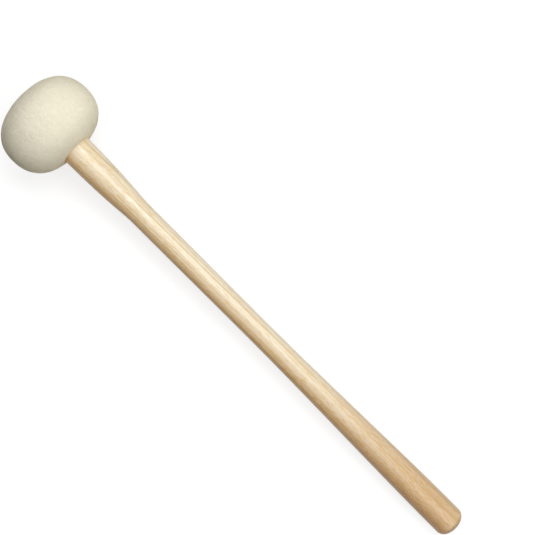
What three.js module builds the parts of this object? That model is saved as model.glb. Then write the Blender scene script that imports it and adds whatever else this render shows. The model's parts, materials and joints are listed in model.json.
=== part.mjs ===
// A bass drum mallet: a turned hickory handle whose tenon is glued into a ball of pressed wool felt.
// Lengths are in millimetres and +Z is up. The mallet lies on the plane z = 0, on the belly of its
// head and on its butt, with the head towards -X. It has no moving parts.
//
// The three pieces are turned about one axis. Their outlines are lists of (radius, along) points,
// where "along" is measured on that axis, from the crown of the head towards the butt.
import * as THREE from "three";

// Overall, from the crown of the head to the end of the butt
const overallLength = 368;

// The felt head: a ball with a flattened crown and a flatter underside
const headDiameter = 61.5;
const headHeight = 43.4;
const crownToBelly = 22.5;
const crownFullnessShares = { across: 0.7, along: 0.62 };
const undersideFullnessShares = { across: 0.575, along: 0.63 };
const undersideFall = 1;
const mouthChamfer = 0.6;

// The handle: full at the neck, slim from the knee to the waist, full again at the butt
const neckDiameter = 19.3;
const neckTaperLength = 55.3;
const neckHoldShare = 0.77;
const neckDropShare = 0.17;
const kneeDiameter = 14.8;
const kneeHoldShare = 0.22;
const waistDiameter = 14.5;
const waistLength = 93.7;
const buttDiameter = 19.4;
const buttRounding = 5.4;
const buttFlatDiameter = 6.5;
const easeShare = 1 / 3;

// The joint: a grooved tenon in a blind bore, with the shoulder let into the mouth of the bore
const tenonDiameter = 12.7;
const tenonLength = 26;
const tenonChamfer = 0.8;
const shoulderDepth = 2.5;
const grooveCount = 3;
const grooveWidth = 2;
const grooveDepth = 0.8;
const groovePitch = 6.5;
const glueThickness = 0.5;
const glueGap = 0.3;

// How finely the pieces are turned
const facets = 32;
const headSteps = 11;
const taperSteps = 9;
const waistSteps = 3;
const gripSteps = 10;
const buttSteps = 7;

// Radii, and places along the axis, that follow from the sizes above
const headRadius = headDiameter / 2;
const neckRadius = neckDiameter / 2;
const kneeRadius = kneeDiameter / 2;
const waistRadius = waistDiameter / 2;
const buttRadius = buttDiameter / 2;
const buttFlatRadius = buttFlatDiameter / 2;
const tenonRadius = tenonDiameter / 2;
const grooveRadius = tenonRadius - grooveDepth;
const glueRoom = glueThickness + 2 * glueGap;
const boreRadius = tenonRadius + glueRoom;
const mouthRadius = neckRadius + glueRoom;

const shoulderPlace = headHeight - shoulderDepth;
const tenonTip = shoulderPlace - tenonLength;
const boreEnd = tenonTip - glueRoom;
const mouthFloor = shoulderPlace - glueRoom;
const kneePlace = headHeight + neckTaperLength;
const waistPlace = kneePlace + waistLength;
const roundingPlace = overallLength - buttRounding;

const at = (radius, along) => new THREE.Vector2(radius, along);

// The points of a curve, without the one that it starts from
const follow = (curve, steps) => curve.getPoints(steps).slice(1);

// A smooth swell or taper that starts and ends parallel to the axis
function ease(fromRadius, fromPlace, toRadius, toPlace) {
  const hold = easeShare * (toPlace - fromPlace);
  return new THREE.CubicBezierCurve(
    at(fromRadius, fromPlace),
    at(fromRadius, fromPlace + hold),
    at(toRadius, toPlace - hold),
    at(toRadius, toPlace),
  );
}

// Where the ring grooves start, spread evenly about the middle of the tenon
function grooveStarts() {
  const span = (grooveCount - 1) * groovePitch + grooveWidth;
  const first = (tenonTip + shoulderPlace - span) / 2;
  return Array.from({ length: grooveCount }, (_, i) => first + i * groovePitch);
}

function headOutline() {
  const crown = new THREE.CubicBezierCurve(
    at(0, 0),
    at(crownFullnessShares.across * headRadius, 0),
    at(headRadius, crownToBelly * (1 - crownFullnessShares.along)),
    at(headRadius, crownToBelly),
  );
  const lipRadius = mouthRadius + mouthChamfer;
  const underside = new THREE.CubicBezierCurve(
    at(headRadius, crownToBelly),
    at(headRadius, crownToBelly + undersideFullnessShares.along * (headHeight - crownToBelly)),
    at(
      lipRadius + undersideFullnessShares.across * (headRadius - lipRadius),
      headHeight - undersideFall,
    ),
    at(lipRadius, headHeight),
  );
  return [
    at(0, 0),
    ...follow(crown, headSteps),
    ...follow(underside, headSteps),
    at(mouthRadius, headHeight - mouthChamfer),
    at(mouthRadius, mouthFloor),
    at(boreRadius, mouthFloor),
    at(boreRadius, boreEnd),
    at(0, boreEnd),
  ];
}

function handleOutline() {
  const grooves = grooveStarts().flatMap((start) => [
    at(tenonRadius, start),
    at(grooveRadius, start),
    at(grooveRadius, start + grooveWidth),
    at(tenonRadius, start + grooveWidth),
  ]);
  const neckTaper = new THREE.CubicBezierCurve(
    at(neckRadius, headHeight),
    at(
      neckRadius - neckDropShare * (neckRadius - kneeRadius),
      headHeight + neckHoldShare * neckTaperLength,
    ),
    at(kneeRadius, kneePlace - kneeHoldShare * neckTaperLength),
    at(kneeRadius, kneePlace),
  );
  const waist = ease(kneeRadius, kneePlace, waistRadius, waistPlace);
  const grip = ease(waistRadius, waistPlace, buttRadius, roundingPlace);
  const rounding = new THREE.EllipseCurve(
    buttFlatRadius,
    roundingPlace,
    buttRadius - buttFlatRadius,
    buttRounding,
    0,
    Math.PI / 2,
  );
  return [
    at(0, tenonTip),
    at(tenonRadius - tenonChamfer, tenonTip),
    at(tenonRadius, tenonTip + tenonChamfer),
    ...grooves,
    at(tenonRadius, shoulderPlace),
    at(neckRadius, shoulderPlace),
    at(neckRadius, headHeight),
    ...follow(neckTaper, taperSteps),
    ...follow(waist, waistSteps),
    ...follow(grip, gripSteps),
    ...follow(rounding, buttSteps),
    at(0, overallLength),
  ];
}

// The hardened glue: a cup round the tenon, keyed into its grooves, with a flange under the
// shoulder and a collar that shows as a thin ring at the mouth
function glueOutline() {
  const keys = grooveStarts()
    .reverse()
    .flatMap((start) => [
      at(tenonRadius + glueGap, start + grooveWidth - glueGap),
      at(grooveRadius + glueGap, start + grooveWidth - glueGap),
      at(grooveRadius + glueGap, start + glueGap),
      at(tenonRadius + glueGap, start + glueGap),
    ]);
  return [
    at(0, boreEnd + glueGap),
    at(boreRadius - glueGap, boreEnd + glueGap),
    at(boreRadius - glueGap, mouthFloor + glueGap),
    at(mouthRadius - glueGap, mouthFloor + glueGap),
    at(mouthRadius - glueGap, headHeight - mouthChamfer),
    at(neckRadius + glueGap, headHeight - mouthChamfer),
    at(neckRadius + glueGap, shoulderPlace - glueGap),
    at(tenonRadius + glueGap, shoulderPlace - glueGap),
    ...keys,
    at(tenonRadius + glueGap, tenonTip - glueGap),
    at(0, tenonTip - glueGap),
  ];
}

// A turned piece, with its axis along X and a flat facet towards the plane that it lies on
function turned(name, outline, material) {
  const halfFacet = Math.PI / facets;
  const piece = new THREE.Mesh(new THREE.LatheGeometry(outline, facets, halfFacet), material);
  piece.name = name;
  piece.rotation.z = -Math.PI / 2;
  return piece;
}

// The point of an outline that hangs lowest when the axis dips by this angle towards the butt
function lowest(outline, dip) {
  const depth = (point) => point.x * Math.cos(dip) + point.y * Math.sin(dip);
  return outline.reduce((low, point) => (depth(point) > depth(low) ? point : low));
}

// The dip at which the head's belly and the butt touch the same plane
function restingDip(head, handle) {
  const flatShare = Math.cos(Math.PI / facets);
  const rounds = 8;
  let dip = 0;
  for (let round = 0; round < rounds; round++) {
    const belly = lowest(head, dip);
    const butt = lowest(handle, dip);
    dip = Math.atan2(flatShare * (belly.x - butt.x), butt.y - belly.y);
  }
  return dip;
}

const hickory = new THREE.MeshStandardMaterial({ color: 0xe6cd9f, roughness: 0.42, metalness: 0 });
const woolFelt = new THREE.MeshStandardMaterial({ color: 0xe7e0cb, roughness: 0.95, metalness: 0 });
const driedGlue = new THREE.MeshStandardMaterial({ color: 0xc9a877, roughness: 0.5, metalness: 0 });

const laid = new THREE.Group();
laid.add(
  turned("handle", handleOutline(), hickory),
  turned("felt_head", headOutline(), woolFelt),
  turned("glue_joint", glueOutline(), driedGlue),
);
laid.rotation.y = restingDip(headOutline(), handleOutline());

// The origin is under the middle of the mallet, on the plane that it lies on
laid.updateMatrixWorld(true);
const box = new THREE.Box3().setFromObject(laid, true);
laid.position.set(-(box.min.x + box.max.x) / 2, 0, -box.min.z);

const mallet = new THREE.Group();
mallet.add(laid);

export default mallet;
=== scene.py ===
import json
import math

import bpy
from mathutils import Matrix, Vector
from mathutils.geometry import interpolate_bezier


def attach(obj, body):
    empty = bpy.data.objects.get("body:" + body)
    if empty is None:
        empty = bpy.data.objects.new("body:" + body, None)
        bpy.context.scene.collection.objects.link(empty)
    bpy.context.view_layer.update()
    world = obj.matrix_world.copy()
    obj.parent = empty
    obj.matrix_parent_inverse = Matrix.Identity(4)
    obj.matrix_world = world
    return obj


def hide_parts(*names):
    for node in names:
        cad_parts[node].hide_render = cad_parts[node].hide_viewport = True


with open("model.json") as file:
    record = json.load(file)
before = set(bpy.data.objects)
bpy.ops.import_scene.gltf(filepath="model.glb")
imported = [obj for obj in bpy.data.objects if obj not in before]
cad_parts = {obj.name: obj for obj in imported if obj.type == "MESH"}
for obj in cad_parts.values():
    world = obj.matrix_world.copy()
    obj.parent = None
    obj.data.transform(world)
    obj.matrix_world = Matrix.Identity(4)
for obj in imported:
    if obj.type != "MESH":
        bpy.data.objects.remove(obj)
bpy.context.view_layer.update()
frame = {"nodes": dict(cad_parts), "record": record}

# Handle
# One length of straight-grained hickory, turned between centres, sanded and given a satin lacquer.
# Its front end is turned down to a tenon with ring grooves, which hold the glue.
butt_mount = next(m for m in frame["record"]["mounts"] if m["name"] == "butt_end")
BUTT_END = Vector(butt_mount["pos_m"])
TO_BUTT = Vector(butt_mount["axis"]).normalized()
OUTWARD = Vector((-TO_BUTT.z, 0, TO_BUTT.x))
DIP = math.atan2(-TO_BUTT.z, TO_BUTT.x)


def reach(node):
    """The first and last place of a CAD node on the handle's axis, measured from the butt's end."""
    places = [(v.co - BUTT_END).dot(TO_BUTT) for v in frame["nodes"][node].data.vertices]
    return min(places), max(places)


LENGTH = -reach("felt_head")[0]
HEAD_HEIGHT = reach("felt_head")[1] + LENGTH
TENON_TIP = reach("handle")[0] + LENGTH
CROWN = BUTT_END - LENGTH * TO_BUTT
MERGE_DISTANCE = 2e-6
SMOOTH_UP_TO = math.radians(35)


def curve(start, start_pull, end_pull, end, steps):
    """A smooth stretch of an outline, without its first point. Points are (place on the axis, radius)."""
    points = interpolate_bezier(*(Vector(p) for p in (start, start_pull, end_pull, end)), steps + 1)
    return [tuple(p) for p in points[1:]]


def swell(start, end, steps):
    """A taper that is level at both ends."""
    hold = (end[0] - start[0]) / 3
    return curve(start, (start[0] + hold, start[1]), (end[0] - hold, end[1]), end, steps)


def turn_on_lathe(name, outline, sides):
    """Draws an outline from point to point, spins it round the mallet's axis and closes the seam."""
    bpy.ops.object.select_all(action="DESELECT")
    bpy.ops.mesh.primitive_plane_add(size=0.001)
    piece = bpy.context.object
    piece.name = piece.data.name = name
    bpy.ops.object.mode_set(mode="EDIT")
    bpy.ops.mesh.merge(type="CENTER")
    at = Vector((0, 0, 0))
    for i, (along, radius) in enumerate(outline):
        to = CROWN + along * TO_BUTT + radius * OUTWARD
        if i == 0:
            bpy.ops.transform.translate(value=to - at)
        else:
            bpy.ops.mesh.extrude_vertices_move(TRANSFORM_OT_translate={"value": to - at})
        at = to
    bpy.ops.mesh.select_all(action="SELECT")
    bpy.ops.mesh.spin(steps=sides, angle=2 * math.pi, center=CROWN, axis=TO_BUTT)
    bpy.ops.mesh.select_all(action="SELECT")
    bpy.ops.mesh.remove_doubles(threshold=MERGE_DISTANCE)
    bpy.ops.mesh.normals_make_consistent(inside=False)
    bpy.ops.object.mode_set(mode="OBJECT")
    return piece


def pick(piece):
    """Selects one piece alone."""
    bpy.ops.object.select_all(action="DESELECT")
    bpy.context.view_layer.objects.active = piece
    piece.select_set(True)


def smooth(piece):
    """Shades a piece smooth and keeps its sharp edges sharp."""
    pick(piece)
    bpy.ops.object.shade_smooth_by_angle(angle=SMOOTH_UP_TO)


def add_node(tree, kind, inputs=(), output=0, **settings):
    """Adds a shader node. Its inputs, by name or number, are values or the sockets to link from."""
    node = tree.nodes.new("ShaderNode" + kind)
    for name, value in settings.items():
        setattr(node, name, value)
    for place, value in dict(inputs).items():
        if isinstance(value, bpy.types.NodeSocket):
            tree.links.new(value, node.inputs[place])
        else:
            node.inputs[place].default_value = value
    return node.outputs[output]


def work(tree, operation, *values):
    """Works out one sum on a surface. MULTIPLY_ADD is the first value times the second, plus the third."""
    return add_node(tree, "Math", enumerate(values), operation=operation)


def mix_colours(tree, share, first, second, kind="MIX"):
    """Goes from the first colour to the second as the share goes from 0 to 1."""
    inputs = {0: share, 6: first, 7: second}
    return add_node(tree, "Mix", inputs, output=2, data_type="RGBA", blend_type=kind)


def tinted(tree, share, colour, tint):
    """Multiplies a colour by a tint, where the share is 1."""
    return mix_colours(tree, share, colour, mix_colours(tree, 1.0, colour, tint, kind="MULTIPLY"))


def graded(tree, value, low, high, at_low=0.0, at_high=1.0):
    """Turns a value between low and high into one between at_low and at_high, with soft ends."""
    inputs = {"Value": value, "From Min": low, "From Max": high, "To Min": at_low, "To Max": at_high}
    return add_node(tree, "MapRange", inputs, interpolation_type="SMOOTHSTEP")


def noise(tree, place, repeats, detail=2.0, roughness=0.5, distortion=0.0):
    """Noise with this many repeats in a metre along each of the three directions."""
    scaled = add_node(tree, "VectorMath", {0: place, 1: repeats}, operation="MULTIPLY")
    inputs = {"Vector": scaled, "Scale": 1, "Detail": detail, "Roughness": roughness}
    inputs["Distortion"] = distortion
    return add_node(tree, "TexNoise", inputs)


def new_material(name, **constants):
    """A material whose shader has these constants. Returns it with its node tree and its shader."""
    material = bpy.data.materials.new(name)
    material.use_nodes = True
    shader = material.node_tree.nodes["Principled BSDF"]
    for socket, value in constants.items():
        shader.inputs[socket.replace("_", " ")].default_value = value
    return material, material.node_tree, shader


def emboss(tree, shader, relief, strength, height):
    """Raises and lowers a surface by this relief. The height is in metres."""
    bump = add_node(tree, "Bump", {"Strength": strength, "Distance": height, "Height": relief})
    tree.links.new(bump, shader.inputs["Normal"])


NECK_R = 0.00965
KNEE_R = 0.0074
WAIST_R = 0.00725
BUTT_R = 0.0097
BUTT_FLAT_R = 0.00325
BUTT_ROUNDING = 0.0054
BUTT_STEPS = 16
TENON_R = 0.00635
TENON_CHAMFER = 0.0008
GROOVES = 3
GROOVE_R = TENON_R - 0.0008
GROOVE_WIDTH = 0.002
GROOVE_PITCH = 0.0065
SHOULDER = HEAD_HEIGHT - 0.0025
NECK_TAPER = 0.0553
KNEE = HEAD_HEIGHT + NECK_TAPER
WAIST = KNEE + 0.0937
GRIP_END = LENGTH - BUTT_ROUNDING

# The neck narrows slowly at first, and then quickly as it comes to the knee.
NECK_HOLD = 0.77 * NECK_TAPER
NECK_LOSS = 0.17 * (NECK_R - KNEE_R)
KNEE_HOLD = 0.22 * NECK_TAPER

first_groove = (TENON_TIP + SHOULDER - (GROOVES - 1) * GROOVE_PITCH - GROOVE_WIDTH) / 2
grooves = []
for i in range(GROOVES):
    start = first_groove + i * GROOVE_PITCH
    grooves += [
        (start, TENON_R),
        (start, GROOVE_R),
        (start + GROOVE_WIDTH, GROOVE_R),
        (start + GROOVE_WIDTH, TENON_R),
    ]
butt_rounding = []
for i in range(1, BUTT_STEPS + 1):
    turn = math.pi / 2 * i / BUTT_STEPS
    radius = BUTT_FLAT_R + (BUTT_R - BUTT_FLAT_R) * math.cos(turn)
    butt_rounding.append((GRIP_END + BUTT_ROUNDING * math.sin(turn), radius))
handle_outline = [
    (TENON_TIP, 0),
    (TENON_TIP, TENON_R - TENON_CHAMFER),
    (TENON_TIP + TENON_CHAMFER, TENON_R),
    *grooves,
    (SHOULDER, TENON_R),
    (SHOULDER, NECK_R),
    (HEAD_HEIGHT, NECK_R),
    *curve(
        (HEAD_HEIGHT, NECK_R),
        (HEAD_HEIGHT + NECK_HOLD, NECK_R - NECK_LOSS),
        (KNEE - KNEE_HOLD, KNEE_R),
        (KNEE, KNEE_R),
        steps=28,
    ),
    *swell((KNEE, KNEE_R), (WAIST, WAIST_R), steps=24),
    *swell((WAIST, WAIST_R), (GRIP_END, BUTT_R), steps=44),
    *butt_rounding,
    (LENGTH, 0),
]
handle = turn_on_lathe("turned_handle", handle_outline, sides=144)
smooth(handle)

# The grain runs nearly along the handle. The pith of its tree lay 86 mm from the axis, towards -Y.
GRAIN_ROLL = math.radians(12)
GRAIN_SLOPE = math.radians(0.5)
PITH_TO_MIDDLE = (0, 0.085, 0.012)
YEAR_GROWTH = 0.0019
YEAR_WANDER = 0.8
hickory, tree, shader = new_material("lacquered_hickory", Specular_IOR_Level=0.5)
grain = add_node(
    tree,
    "Mapping",
    {
        "Vector": add_node(tree, "TexCoord", output=3),
        "Location": CROWN,
        "Rotation": (GRAIN_ROLL, DIP, GRAIN_SLOPE),
    },
    vector_type="TEXTURE",
)
along = add_node(tree, "SeparateXYZ", {0: grain})
wander = noise(tree, grain, repeats=(6, 60, 60), detail=3)
from_pith = {0: grain, 1: (0, 1, 1), 2: PITH_TO_MIDDLE}
from_pith = add_node(tree, "VectorMath", from_pith, operation="MULTIPLY_ADD")
pith_distance = add_node(tree, "VectorMath", {0: from_pith}, output=1, operation="LENGTH")
years = work(tree, "DIVIDE", pith_distance, YEAR_GROWTH)
years = work(tree, "MULTIPLY_ADD", wander, YEAR_WANDER, years)
year = {"W": work(tree, "FLOOR", years)}
year_share = work(tree, "FRACT", years)
year_strength = add_node(tree, "TexWhiteNoise", year, noise_dimensions="1D")
spring_wood = work(
    tree,
    "MULTIPLY",
    graded(tree, year_share, low=0.02, high=0.28, at_low=1.0, at_high=0.0),
    graded(tree, year_strength, low=0.0, high=1.0, at_low=0.25, at_high=1.0),
)

# The palest wood has a tone of 0 and the deepest of 1. Each kind of mark adds its share.
TONE_START = -1.2
BROAD_TONE = 0.6
LINE_TONE = 2.6
DASH_TONE = 3.2
GRIP_DASH_TONE = 6.2
DASH_MIDDLE = 0.5
SPRING_TONE = 0.7
GRIP_TONE_FROM = 0.205
GRIP_TONE_FULL = 0.35
CREAM = (0.86, 0.77, 0.616, 1)
TAN = (0.715, 0.55, 0.295, 1)
# The heartwood colours are wood tone and also painted shade on the side of the handle away from the lamps.
HEART_CREAM_AND_SHADE = (0.73, 0.45, 0.163, 1)
HEART_TAN_AND_SHADE = (0.50, 0.265, 0.05, 1)
broad = noise(tree, grain, repeats=(7, 200, 150), detail=2)
lines = noise(tree, grain, repeats=(6, 1150, 420), detail=2, roughness=0.6)
dashes = noise(tree, grain, repeats=(260, 1700, 1700), detail=2, roughness=0.6)
dash_tone = graded(tree, along, GRIP_TONE_FROM, GRIP_TONE_FULL, DASH_TONE, GRIP_DASH_TONE)
tone = work(tree, "MULTIPLY_ADD", broad, BROAD_TONE, TONE_START)
tone = work(tree, "MULTIPLY_ADD", lines, LINE_TONE, tone)
tone = work(tree, "MULTIPLY_ADD", work(tree, "SUBTRACT", dashes, DASH_MIDDLE), dash_tone, tone)
tone = work(tree, "MULTIPLY_ADD", spring_wood, SPRING_TONE, tone)
sapwood = mix_colours(tree, tone, CREAM, TAN)
heartwood_and_painted_shade = mix_colours(tree, tone, HEART_CREAM_AND_SHADE, HEART_TAN_AND_SHADE)

# The heartwood is browner and lies on the side of the pith, the side away from the lamps, so its brown is
# also painted shade there, deepest at the outermost edge. It turns paler towards the butt.
HEART_UP_TO = 0.0753
SAP_FROM = 0.088
HEART_WANDER = -0.004
SAP_AT_GRIP = 0.28
heart_edge = work(tree, "MULTIPLY_ADD", wander, HEART_WANDER, pith_distance)
towards_butt = graded(tree, along, GRIP_TONE_FROM, GRIP_TONE_FULL)
sap_share = graded(tree, heart_edge, HEART_UP_TO, SAP_FROM)
sap_share = work(tree, "MULTIPLY_ADD", towards_butt, SAP_AT_GRIP, sap_share)
wood = mix_colours(tree, sap_share, heartwood_and_painted_shade, sapwood)

# Short brown pores lie mostly in the spring wood. The grip is deeper in tone towards the butt, which is
# painted shade for the lamps' light falling off there. The rounded end, where the grain is cut across, is
# deeper still.
PORE_BROWN = (0.42, 0.27, 0.13, 1)
PORE_DEPTH = 0.55
GRIP_SHADE_TINT = (0.79, 0.637, 0.474, 1)
END_GRAIN_AND_SHADE_TINT = (0.40, 0.33, 0.27, 1)
pore_dashes = noise(tree, grain, repeats=(120, 3600, 3600), detail=1)
pores = work(
    tree,
    "MULTIPLY",
    graded(tree, pore_dashes, low=0.56, high=0.66),
    graded(tree, spring_wood, low=0.1, high=0.7, at_low=0.12, at_high=1.0),
)
wood = mix_colours(tree, work(tree, "MULTIPLY", pores, PORE_DEPTH), wood, PORE_BROWN)
# Painted shade: the grip darkens where the lamps' light falls off towards the butt.
wood = tinted(tree, towards_butt, wood, GRIP_SHADE_TINT)
# The end grain is darker, and this tint is also painted shade for the dimly lit rounded end.
wood = tinted(tree, graded(tree, along, GRIP_END, LENGTH), wood, END_GRAIN_AND_SHADE_TINT)
tree.links.new(wood, shader.inputs["Base Color"])

LACQUER_ROUGHNESS = {"at_low": 0.24, "at_high": 0.33}
PORE_RELIEF = -0.5
LINE_RELIEF = 0.35
DASH_RELIEF = 0.9
gloss = graded(tree, dashes, low=0.3, high=0.7, **LACQUER_ROUGHNESS)
tree.links.new(gloss, shader.inputs["Roughness"])
relief = work(tree, "MULTIPLY", lines, LINE_RELIEF)
relief = work(tree, "MULTIPLY_ADD", pores, PORE_RELIEF, relief)
relief = work(tree, "MULTIPLY_ADD", dashes, DASH_RELIEF, relief)
emboss(tree, shader, relief, strength=0.5, height=0.00006)
handle.data.materials.append(hickory)
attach(handle, "root")
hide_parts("handle")

# Glue
# Hardened glue fills the blind bore round the tenon.
# It shows as a thin tan bead at the mouth, where it was squeezed out and left.
GLUE_ROOM = 0.0011
GLUE_GAP = 0.0003
BORE_R = TENON_R + GLUE_ROOM
BORE_END = TENON_TIP - GLUE_ROOM
GLUE_R = NECK_R + 0.0004
BEAD_R = NECK_R + 0.0006
BEAD_INNER_R = NECK_R + 0.00002
BEAD_START = HEAD_HEIGHT - 0.0006
BEAD_FRONT = HEAD_HEIGHT - 0.0001
BEAD_BACK = HEAD_HEIGHT + 0.0004
BEAD_END = HEAD_HEIGHT + 0.0005
glue_outline = [
    (BORE_END + GLUE_GAP, 0),
    (BORE_END + GLUE_GAP, BORE_R - GLUE_GAP),
    (SHOULDER - 2 * GLUE_GAP, BORE_R - GLUE_GAP),
    (SHOULDER - 2 * GLUE_GAP, GLUE_R),
    (BEAD_START, GLUE_R),
    *curve(
        (BEAD_START, GLUE_R),
        (BEAD_FRONT, BEAD_R),
        (BEAD_BACK, BEAD_R),
        (BEAD_END, BEAD_INNER_R),
        steps=8,
    ),
    (SHOULDER - GLUE_GAP, BEAD_INNER_R),
    (SHOULDER - GLUE_GAP, TENON_R + GLUE_GAP),
    (TENON_TIP - GLUE_GAP, TENON_R + GLUE_GAP),
    (TENON_TIP - GLUE_GAP, 0),
]
glue = turn_on_lathe("glue_bead", glue_outline, sides=120)
smooth(glue)

AMBER = (0.66, 0.47, 0.24, 1)
HONEY = (0.80, 0.63, 0.38, 1)
GLUE_ROUGHNESS = {"at_low": 0.3, "at_high": 0.55}
dried_glue, tree, shader = new_material("dried_glue", Coat_Weight=0.3, Coat_Roughness=0.2)
place = add_node(tree, "TexCoord", output=3)
clouded = noise(tree, place, repeats=(300, 300, 300), detail=3)
lumps = noise(tree, place, repeats=(700, 700, 700), detail=2)
amber_share = graded(tree, clouded, low=0.35, high=0.65)
tree.links.new(mix_colours(tree, amber_share, AMBER, HONEY), shader.inputs["Base Color"])
gloss = graded(tree, clouded, low=0.3, high=0.7, **GLUE_ROUGHNESS)
tree.links.new(gloss, shader.inputs["Roughness"])
emboss(tree, shader, lumps, strength=0.5, height=0.0003)
glue.data.materials.append(dried_glue)
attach(glue, "root")
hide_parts("glue_joint")

# Felt head
# One ball of hard pressed wool felt, turned and sanded to shape, with a flatter underside.
# It is pushed onto the tenon, which is glued into its blind bore, and it has no cover or seam.
HEAD_R = 0.03075
BELLY = 0.0225
BELLY_TO_NECK = HEAD_HEIGHT - BELLY
MOUTH_R = NECK_R + 0.0005
MOUTH_END = HEAD_HEIGHT - 0.0006
MOUTH_FLOOR = SHOULDER - GLUE_ROOM
LIP_R = NECK_R + 0.0009
LIP = HEAD_HEIGHT + 0.0003
LIP_ROLL = 0.0001

# How long the crown, the belly and the underside keep their direction.
CROWN_HOLD = 0.7 * HEAD_R
BELLY_HOLD_FRONT = 0.62 * BELLY
BELLY_HOLD_BACK = 0.63 * BELLY_TO_NECK
UNDERSIDE_HOLD = 0.575 * (HEAD_R - LIP_R)
UNDERSIDE_PULL = HEAD_HEIGHT - 0.0007
head_outline = [
    (0, 0),
    *curve((0, 0), (0, CROWN_HOLD), (BELLY - BELLY_HOLD_FRONT, HEAD_R), (BELLY, HEAD_R), steps=70),
    *curve(
        (BELLY, HEAD_R),
        (BELLY + BELLY_HOLD_BACK, HEAD_R),
        (UNDERSIDE_PULL, LIP_R + UNDERSIDE_HOLD),
        (LIP, LIP_R),
        steps=64,
    ),
    *curve(
        (LIP, LIP_R),
        (LIP + LIP_ROLL, MOUTH_R + LIP_ROLL),
        (LIP - 2 * LIP_ROLL, MOUTH_R),
        (MOUTH_END, MOUTH_R),
        steps=5,
    ),
    (MOUTH_FLOOR, MOUTH_R),
    (MOUTH_FLOOR, BORE_R),
    (BORE_END, BORE_R),
    (BORE_END, 0),
]
head = turn_on_lathe("felt_ball", head_outline, sides=300)

# The outside leans and is pressed a little unevenly, while the bore stays in line with the tenon.
HEAD_LEAN = math.radians(1.8)
OUTSIDE_FROM_R = MOUTH_R + 0.00005
CROWN_SIDE = 0.8 * TENON_TIP
PRESSING_SIZE = 0.007
PRESSING_HEIGHT = 0.0003
for vertex in head.data.vertices:
    from_crown = vertex.co - CROWN
    to_butt = from_crown.dot(TO_BUTT)
    radius = (from_crown - to_butt * TO_BUTT).length
    vertex.select = radius > OUTSIDE_FROM_R or to_butt < CROWN_SIDE
pick(head)
bpy.ops.object.mode_set(mode="EDIT")
bpy.ops.object.vertex_group_add()
bpy.ops.object.vertex_group_assign()
bpy.ops.transform.rotate(
    value=-HEAD_LEAN, orient_axis="Z", center_override=CROWN + HEAD_HEIGHT * TO_BUTT
)
bpy.ops.object.mode_set(mode="OBJECT")
pressing = bpy.data.textures.new("uneven_pressing", "CLOUDS")
pressing.noise_scale = PRESSING_SIZE
pressing.noise_depth = 2
uneven = head.modifiers.new("uneven", "DISPLACE")
uneven.texture = pressing
uneven.vertex_group = head.vertex_groups[0].name
uneven.strength = PRESSING_HEIGHT
bpy.ops.object.modifier_apply(modifier="uneven")

# Pale wool with a fine mottle and a finer nap, both of which darken it and stand out a little.
FELT_LIGHT = (0.89, 0.847, 0.702, 1)
FELT_DARK = (0.785, 0.732, 0.568, 1)
FELT_TONE_START = -0.75
MOTTLE_TONE = 1.3
NAP_TONE = 0.9
NAP_RELIEF = 0.35
felt, tree, shader = new_material(
    "pressed_wool_felt", Roughness=1.0, Specular_IOR_Level=0.2, Diffuse_Roughness=0.2
)
place = add_node(tree, "TexCoord", output=3)
mottle = noise(tree, place, repeats=(450, 450, 450), detail=3, roughness=0.6, distortion=1.0)
nap = noise(tree, place, repeats=(1500, 1500, 1500), detail=4, roughness=0.65, distortion=0.8)
tone = work(tree, "MULTIPLY_ADD", nap, NAP_TONE, FELT_TONE_START)
tone = work(tree, "MULTIPLY_ADD", mottle, MOTTLE_TONE, tone)
tree.links.new(mix_colours(tree, tone, FELT_LIGHT, FELT_DARK), shader.inputs["Base Color"])
relief = work(tree, "MULTIPLY_ADD", nap, NAP_RELIEF, mottle)
emboss(tree, shader, relief, strength=0.85, height=0.0009)
head.data.materials.append(felt)
smooth(head)
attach(head, "root")
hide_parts("felt_head")

# Studio
# A wide pale floor and a camera that looks straight down from 60 cm. The main light is a long soft
# panel above the mallet's upper right side in the picture. Four more lamps fill the other sides.
WHITE = (1, 1, 1, 1)
PAPER_GREY = (0.33, 0.33, 0.33, 1)
PAPER_BOUNCE = (0.31, 0.25, 0.15, 1)
bpy.ops.object.select_all(action="DESELECT")
bpy.ops.mesh.primitive_plane_add(size=12)
floor = bpy.context.object
floor.name = "floor"
paper, tree, shader = new_material("white_paper")
tree.nodes.remove(shader)


def seen_directly(tree):
    """1 for the rays that show the backdrop to the camera, in reflections or through glass, or else 0."""
    rays = tree.nodes.new("ShaderNodeLightPath")
    seen = work(tree, "MAXIMUM", rays.outputs["Is Camera Ray"], rays.outputs["Is Glossy Ray"])
    return work(tree, "MAXIMUM", seen, rays.outputs["Is Transmission Ray"])


# The paper fades to plain white away from the mallet, so that no horizon shows from the side.
FADE_FROM = 0.2
FADE_TO = 1.3
NEAR_WHITENESS = 0.76
place = add_node(tree, "TexCoord", output=3)
from_middle = add_node(tree, "VectorMath", {0: place}, output=1, operation="LENGTH")
whiteness = graded(tree, from_middle, FADE_FROM, FADE_TO, NEAR_WHITENESS, 1.0)
glow = add_node(tree, "Emission", {"Color": WHITE, "Strength": whiteness})
lit = add_node(tree, "BsdfDiffuse", {"Color": PAPER_GREY})
shown = add_node(tree, "AddShader", {0: lit, 1: glow})
bounce = add_node(tree, "BsdfDiffuse", {"Color": PAPER_BOUNCE})
surface = add_node(tree, "MixShader", {0: seen_directly(tree), 1: bounce, 2: shown})
tree.links.new(surface, tree.nodes["Material Output"].inputs["Surface"])
floor.data.materials.append(paper)

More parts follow.
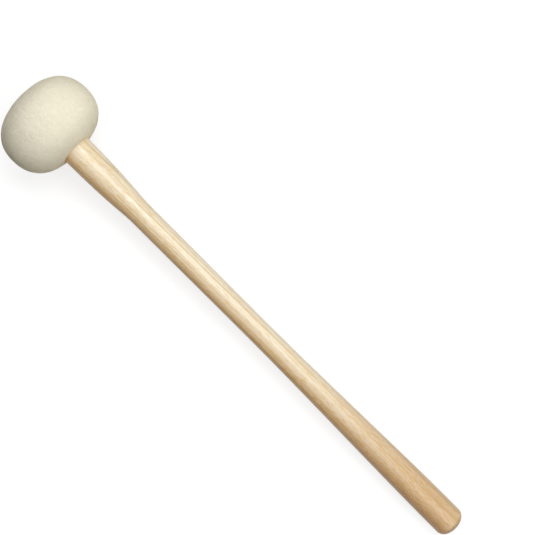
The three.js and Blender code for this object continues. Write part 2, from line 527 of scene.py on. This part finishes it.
WARM_WHITE = (1, 0.93, 0.81, 1)
world = bpy.data.worlds.new("studio")
bpy.context.scene.world = world
world.use_nodes = True
tree = world.node_tree
fill = add_node(tree, "Background", {"Color": WARM_WHITE, "Strength": 0.05})
backdrop = add_node(tree, "Background", {"Color": WHITE, "Strength": 1.0})
surface = add_node(tree, "MixShader", {0: seen_directly(tree), 1: fill, 2: backdrop})
tree.links.new(surface, tree.nodes["World Output"].inputs["Surface"])


def soft_box(name, place, width, depth, watts):
    """A rectangular lamp that points at the middle of the mallet."""
    lamp = bpy.data.lights.new(name, "AREA")
    lamp.shape = "RECTANGLE"
    lamp.size = width
    lamp.size_y = depth
    lamp.energy = watts
    box = bpy.data.objects.new(name, lamp)
    bpy.context.scene.collection.objects.link(box)
    box.visible_camera = False
    box.location = place
    aim = (-Vector(place)).to_track_quat("-Z", "Y" if width > depth else "X")
    box.rotation_euler = aim.to_euler()


soft_box("panel", place=(-0.10, 0.28, 0.65), width=0.8, depth=0.28, watts=3.1)
soft_box("overhead", place=(-0.10, 0.02, 0.70), width=0.8, depth=0.24, watts=0.86)
soft_box("far_side", place=(0.05, 0.90, 0.42), width=1.4, depth=0.45, watts=1.3)
soft_box("butt_side", place=(0.75, 0.05, 0.7), width=0.7, depth=0.7, watts=4.3)
soft_box("head_side", place=(-0.75, 0.05, 0.7), width=0.7, depth=0.7, watts=0.8)

PICTURE_WIDTH = 540
FOCAL_PIXELS = 958.9
SENSOR_WIDTH = 36
CAMERA_PLACE = (-0.00917, 0.03214, 0.6)
PICTURE_TURN = math.radians(45.152)
camera_data = bpy.data.cameras.new("camera")
camera_data.sensor_width = SENSOR_WIDTH
camera_data.lens = FOCAL_PIXELS / PICTURE_WIDTH * SENSOR_WIDTH
camera = bpy.data.objects.new("camera", camera_data)
bpy.context.scene.collection.objects.link(camera)
camera.location = CAMERA_PLACE
camera.rotation_euler = (0, 0, PICTURE_TURN)
bpy.context.scene.camera = camera
bpy.context.scene.view_settings.view_transform = "Standard"
